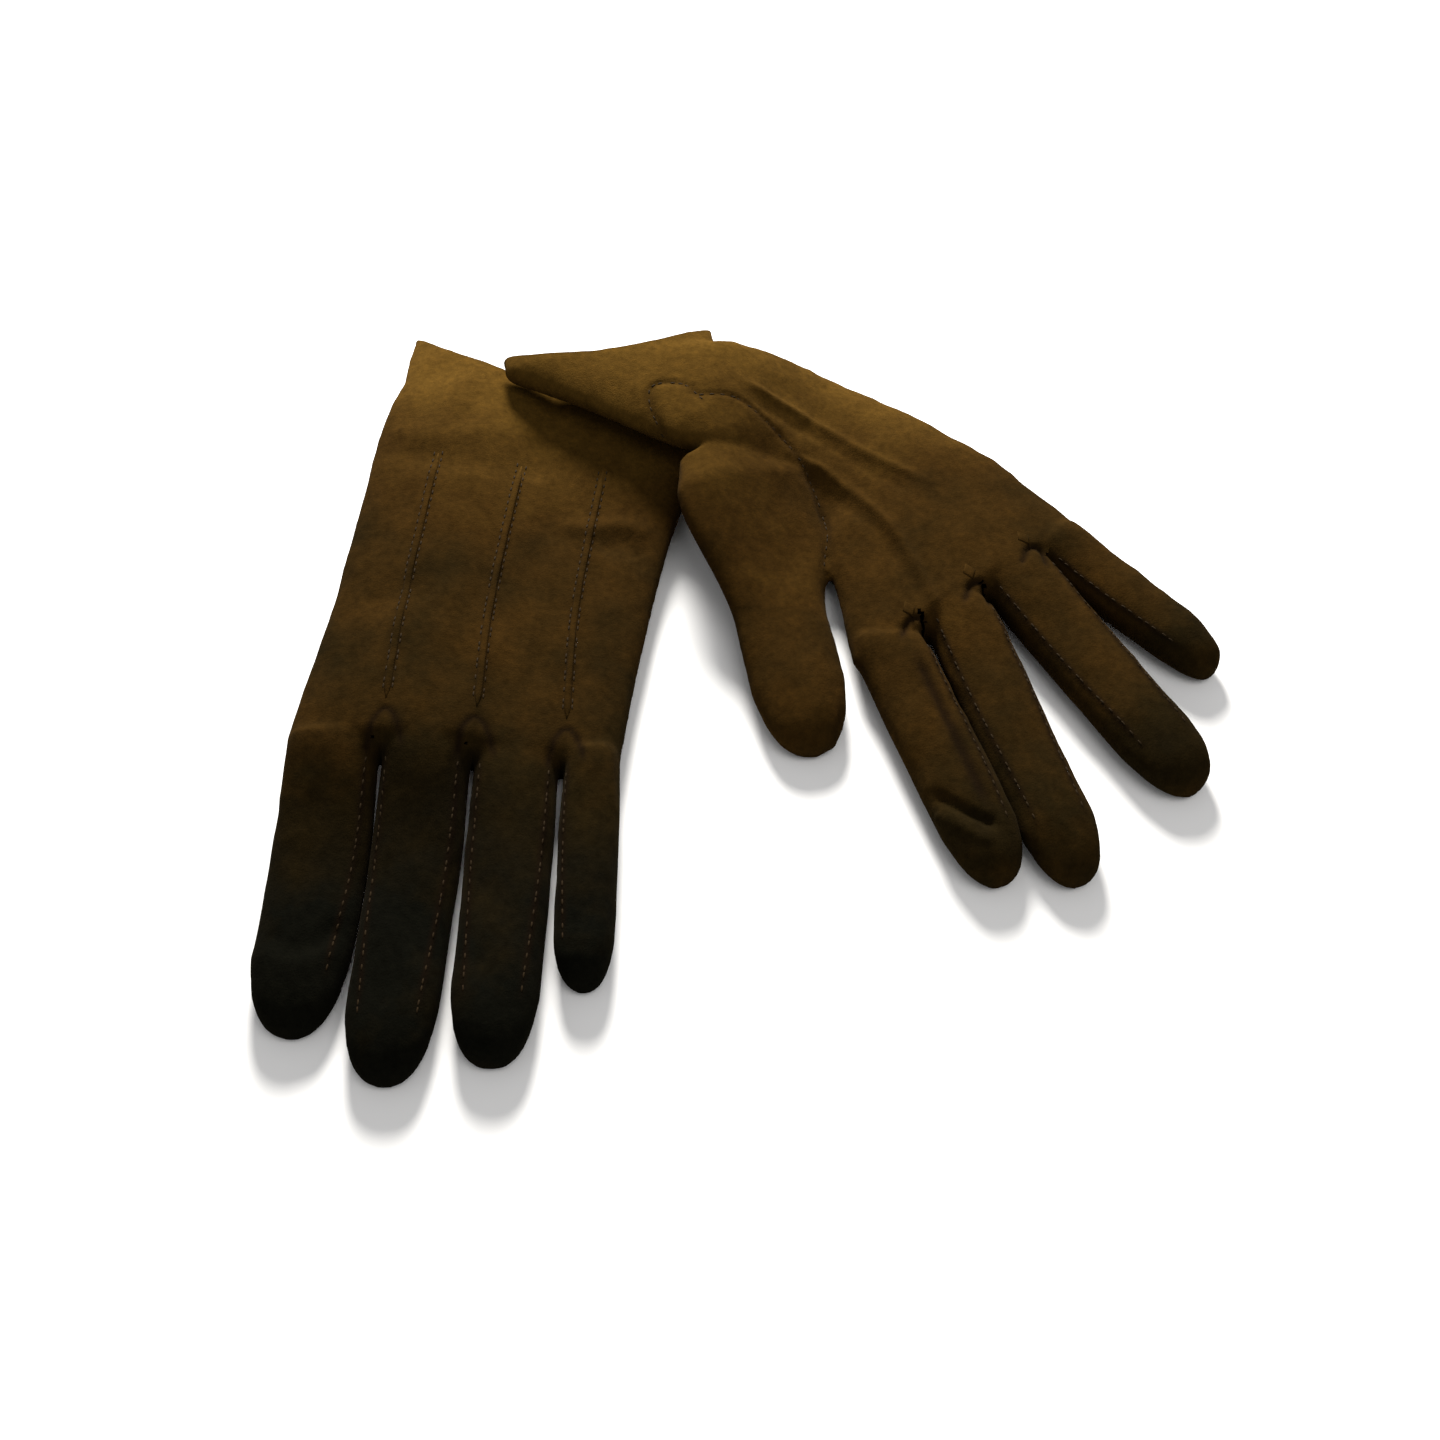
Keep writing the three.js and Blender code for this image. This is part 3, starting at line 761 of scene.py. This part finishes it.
def suede():
    """Brushed brown leather: patchy colour, with painted light that warms it towards the cuff, painted
    shade towards the fingertips and painted shade in its seams.
    """
    material, tree, surface = nodes_of("suede_leather")
    place = add(tree, "ShaderNodeTexCoord").outputs["Object"]
    seam = add(tree, "ShaderNodeAttribute", attribute_name="seam").outputs["Fac"]
    painted_light = add(tree, "ShaderNodeAttribute", attribute_name="painted_light").outputs["Fac"]
    patches = cloud(tree, place, 34.0, 4.0, 0.62)
    grain = cloud(tree, place, 420.0, 5.0, 0.7)
    hair = cloud(tree, place, 1900.0, 3.0, 0.7)
    shifted = add(tree, "ShaderNodeMath", {0: patches, 1: -0.5}, operation="ADD")
    wide = add(tree, "ShaderNodeMath", {0: shifted.outputs[0], 1: 0.7}, operation="MULTIPLY")
    # The level of painted light and shade, shifted by the random patches.
    level = add(tree, "ShaderNodeMath", {0: painted_light, 1: wide.outputs[0]}, operation="ADD", use_clamp=True)
    base = ramp(tree, level.outputs[0], DARK_TO_WARM)
    base = mixed(tree, 1.0, base, ramp(tree, grain, FLECKS), "MULTIPLY")
    # Painted shade in the seams and crotches.
    base = mixed(tree, seam, base, SEAM_SHADE_COLOUR)
    tree.links.new(base, surface.inputs["Base Color"])
    surface.inputs["Roughness"].default_value = 0.82
    surface.inputs["Specular IOR Level"].default_value = 0.0
    surface.inputs["Sheen Weight"].default_value = 0.012
    surface.inputs["Sheen Roughness"].default_value = 0.45
    surface.inputs["Sheen Tint"].default_value = (0.75, 0.6, 0.42, 1)
    coarse = add(tree, "ShaderNodeBump", {"Height": grain, "Distance": 0.0005, "Strength": 0.35})
    fine = add(tree, "ShaderNodeBump", {"Height": hair, "Distance": 0.00025, "Strength": 0.6,
                                        "Normal": coarse.outputs["Normal"]})
    tree.links.new(fine.outputs["Normal"], surface.inputs["Normal"])
    return material


def plain(name, colour, roughness, scale, depth):
    """A cloth or thread with a fine bump of its own."""
    material, tree, surface = nodes_of(name)
    place = add(tree, "ShaderNodeTexCoord").outputs["Object"]
    weave = cloud(tree, place, scale, 3.0, 0.6)
    shade = ramp(tree, weave, ((0.3, tuple(c * 0.7 for c in colour)), (0.7, colour)))
    bump = add(tree, "ShaderNodeBump", {"Height": weave, "Distance": depth, "Strength": 0.6})
    tree.links.new(shade, surface.inputs["Base Color"])
    tree.links.new(bump.outputs["Normal"], surface.inputs["Normal"])
    surface.inputs["Roughness"].default_value = roughness
    surface.inputs["Specular IOR Level"].default_value = 0.05
    return material


LEATHER_FINISH = suede()
LINING_FINISH = plain("knit_lining", (0.05, 0.036, 0.024), 0.95, 1400.0, 0.0004)
THREAD_FINISH = plain("sewing_thread", (0.02, 0.012, 0.0045), 0.8, 2600.0, 0.0001)


def finish(piece, material, body, nodes=()):
    """Gives a piece its material and slot, hides the CAD nodes that it stands for, and gives it its body if
    it has one.
    """
    piece.data.materials.clear()
    piece.data.materials.append(material)
    if nodes:
        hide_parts(*nodes)
    if body:
        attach(piece, body)


# ---------------------------------------------------------------- the pair
FOURCHETTES = {"index": ("outer",), "middle": ("thumb_side", "outer"), "ring": ("thumb_side", "outer"),
               "little": ("thumb_side",)}
POINTS = ("thumb_side", "middle", "outer")
GUSSETS = ("index_middle", "middle_ring", "ring_little")


def bending(piece):
    """Bakes the piece's placement into its mesh."""
    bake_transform(piece)


gloves = {side: glove(side) for side in SIDES}
gloves["left"]["thumb"] = left_thumb()
for side in SIDES:
    made = gloves[side]
    finish(made["hand"], LEATHER_FINISH, f"{side}_hand",
           (f"{side}_back_panel", f"{side}_palm_panel"))
    finish(made["facing"], LEATHER_FINISH, f"{side}_hand", (f"{side}_hem_facing",))
    finish(made["lining"], LINING_FINISH, f"{side}_hand", (f"{side}_lining",))
    for name in FINGERS:
        finish(made[name], LEATHER_FINISH, None,
               (f"{side}_{name}_back", f"{side}_{name}_palm",
                *(f"{side}_{name}_fourchette_{f}" for f in FOURCHETTES[name])))
        bending(made[name])
for side, body in (("left", "left_thumb"), ("right", None)):
    finish(gloves[side]["thumb"], LEATHER_FINISH, body,
           (f"{side}_thumb_back", f"{side}_thumb_palm"))
bending(gloves["right"]["thumb"])


# ---------------------------------------------------------------- sewn details
# Half a stitch's length, width and height, how far apart stitches are, and how far from a point's middle.
STITCH = (0.85, 0.27, 0.2)
STITCH_PITCH = 2.9
STITCH_ASIDE = 1.25
# Half the width and height of a ridge, and half the length and width of a gusset.
RIDGE_WIDE, RIDGE_TALL = 0.95, 0.5
GUSSET_LONG, GUSSET_WIDE = 3.0, 1.9
# A gusset's sections: height out of the skin, and size.
GUSSET_LEVELS = ((-0.6, 1.0), (0.12, 1.0), (0.34, 0.8), (0.42, 0.35))


def skin_tree(mesh):
    return BVHTree.FromPolygons([v.co for v in mesh.vertices], [p.vertices for p in mesh.polygons])


def on_skin(tree, place, face):
    """Where a plan place meets the skin from above or below, and the way the skin faces there."""
    start = Vector((place[0] * MM, place[1] * MM, 0.1 * face)) + PLAN
    hit, way, _, _ = tree.ray_cast(start, Vector((0, 0, -face)))
    if hit is None or way.z * face < 0.25:
        return None, None
    return hit, way


def turned_to(way, along):
    """A turn that lays x along the seam and z out of the skin."""
    out = way.normalized()
    run = (along - out * along.dot(out)).normalized()
    return Matrix((run, out.cross(run), out)).transposed()


def add_stitches(bm, tree, path, face):
    """Short thread stitches along a plan path, each lying on the skin."""
    points = [np.array(p) for p in smooth_path(path, 40)]
    run = 0.0
    for a, b in zip(points, points[1:]):
        step = float(np.linalg.norm(b - a))
        run += step
        if run < STITCH_PITCH:
            continue
        run -= STITCH_PITCH
        place, way = on_skin(tree, b, face)
        if place is None:
            continue
        turned = turned_to(way, Vector((*(b - a), 0)).normalized())
        sizes = Matrix.Diagonal((STITCH[0] * MM, STITCH[1] * MM, STITCH[2] * MM, 1))
        bmesh.ops.create_uvsphere(bm, u_segments=8, v_segments=5, radius=1,
                                  matrix=Matrix.Translation(place) @ turned.to_4x4() @ sizes)


def mesh_piece(name, bm, side=None):
    """The bmesh as a piece. With a side it is leather, and takes that glove's painted light and shade."""
    mesh = bpy.data.meshes.new(name)
    bmesh.ops.recalc_face_normals(bm, faces=bm.faces)
    bm.to_mesh(mesh)
    bm.free()
    if side:
        mesh.attributes.new("painted_light", "FLOAT", "POINT").data.foreach_set("value", painted_light_levels(mesh, side))
    mesh.polygons.foreach_set("use_smooth", [True] * len(mesh.polygons))
    return placed(name, mesh)


def ridge(name, side, tree, path, face):
    """A raised tuck of leather along a plan path, rounded over and closed at both ends."""
    bm = bmesh.new()
    rings = []
    points = smooth_path(path, 60)
    for i, point in enumerate(points):
        place, way = on_skin(tree, point, face)
        if place is None:
            continue
        after, before = points[min(i + 1, len(points) - 1)], points[max(i - 1, 0)]
        along = Vector((after[0] - before[0], after[1] - before[1], 0)).normalized()
        turned = turned_to(way, along)
        share = i / (len(points) - 1)
        size = max(math.sin(math.pi * min(share, 1 - share, 0.06) / 0.12), 0.2)
        made = bmesh.ops.create_circle(bm, segments=10, radius=1)
        for vert in made["verts"]:
            local = Vector((0, vert.co.x * RIDGE_WIDE * size * MM, vert.co.y * RIDGE_TALL * size * MM))
            vert.co = place + turned @ local
        rings.append(made["verts"])
    loft(bm, rings)
    return mesh_piece(name, bm, side)


def quirk(name, side, tree, place, heading, face):
    """A small diamond gusset behind the crotch of two fingers."""
    place, way = on_skin(tree, place, face)
    bm = bmesh.new()
    turned = turned_to(way, Vector((*heading, 0)))
    rings = []
    for height, size in GUSSET_LEVELS:
        made = bmesh.ops.create_circle(bm, segments=4, radius=1)
        for vert in made["verts"]:
            local = Vector((vert.co.x * GUSSET_LONG * size, vert.co.y * GUSSET_WIDE * size, height)) * MM
            vert.co = place + turned @ local
        rings.append(made["verts"])
    loft(bm, rings)
    return mesh_piece(name, bm, side)


QUIRKS = {"left": tuple((x, CROTCH_Y + 3) for x in POINT_STARTS),
          "right": ((54, 29), (72.5, 42.5), (90, 56))}

for side in SIDES:
    made = gloves[side]
    tree = skin_tree(made["skins"]["hand"])
    back, front = (TOP, UNDER) if side == "left" else (UNDER, TOP)
    for i, name in enumerate(POINTS):
        path = point_path(side, i)
        piece = ridge(f"{side}_glove_point_{name}", side, tree, path, back)
        finish(piece, LEATHER_FINISH, f"{side}_hand", (f"{side}_back_point_{name}",))
        bm = bmesh.new()
        for shift in (-STITCH_ASIDE, STITCH_ASIDE):
            add_stitches(bm, tree, [(x + shift, y) for x, y in path], back)
        piece = mesh_piece(f"{side}_glove_point_{name}_stitches", bm)
        finish(piece, THREAD_FINISH, f"{side}_hand")
    for name, after, place in zip(GUSSETS, FINGERS, QUIRKS[side]):
        ahead = directions(DIGITS[side][after]["heading"])[0]
        piece = quirk(f"{side}_glove_quirk_{name}", side, tree, place, ahead, front)
        finish(piece, LEATHER_FINISH, f"{side}_hand", (f"{side}_quirk_{name}",))
    for name in FINGERS:
        bm = bmesh.new()
        finger_tree = skin_tree(made["skins"][name])
        for label, path, *_ in skin_lines(side):
            if label.startswith(f"{name}_seam"):
                for face in (TOP, UNDER):
                    add_stitches(bm, finger_tree, path, face)
        piece = mesh_piece(f"{side}_glove_{name}_stitches", bm)
        finish(piece, THREAD_FINISH, None)
        bending(piece)
bm = bmesh.new()
tree = skin_tree(gloves["right"]["skins"]["hand"])
for label, path, *_ in skin_lines("right"):
    if label.startswith(("thumb_oval", "thumb_inner")):
        add_stitches(bm, tree, path, TOP)
finish(mesh_piece("right_glove_thumb_seam_stitches", bm), THREAD_FINISH, "right_hand")

# ---------------------------------------------------------------- studio
CAMERA_TILT = math.radians(55)
CAMERA_AWAY = 0.395
camera = bpy.data.objects.new("camera", bpy.data.cameras.new("camera"))
bpy.context.scene.collection.objects.link(camera)
camera.data.lens = 35
camera.data.sensor_width = 36
camera.data.clip_start = 0.01
camera.location = PLAN + Vector((0, -math.cos(CAMERA_TILT), math.sin(CAMERA_TILT))) * CAMERA_AWAY
camera.rotation_euler = (math.pi / 2 - CAMERA_TILT, 0, 0)
bpy.context.scene.camera = camera

floor_mesh = bpy.data.meshes.new("floor")
bm = bmesh.new()
bmesh.ops.create_grid(bm, x_segments=1, y_segments=1, size=3)
bm.to_mesh(floor_mesh)
bm.free()
floor = placed("floor", floor_mesh)
floor.location = (0, 0, -0.0001)
floor_finish, _, floor_surface = nodes_of("floor_paper")
floor_surface.inputs["Base Color"].default_value = (0.93, 0.93, 0.93, 1)
floor_surface.inputs["Roughness"].default_value = 0.9
floor_surface.inputs["Specular IOR Level"].default_value = 0.0
floor.data.materials.append(floor_finish)


def lamp(name, place, size, power, colour):
    """A round soft light that faces the middle of the pair."""
    data = bpy.data.lights.new(name, "AREA")
    data.shape = "DISK"
    data.size = size
    data.energy = power
    data.color = colour
    light = bpy.data.objects.new(name, data)
    bpy.context.scene.collection.objects.link(light)
    light.location = PLAN + Vector(place)
    light.rotation_euler = (PLAN - light.location).to_track_quat("-Z", "Y").to_euler()


lamp("key", (-0.1, 1.02, 0.5), 0.36, 44, (1.0, 0.97, 0.92))
lamp("fill", (0.4, -0.3, 1.1), 0.9, 4, (1.0, 0.98, 0.96))
world = bpy.data.worlds.new("studio")
world.use_nodes = True
world.node_tree.nodes["Background"].inputs["Color"].default_value = (1, 1, 1, 1)
world.node_tree.nodes["Background"].inputs["Strength"].default_value = 0.36
bpy.context.scene.world = world
bpy.context.scene.view_settings.view_transform = "Standard"
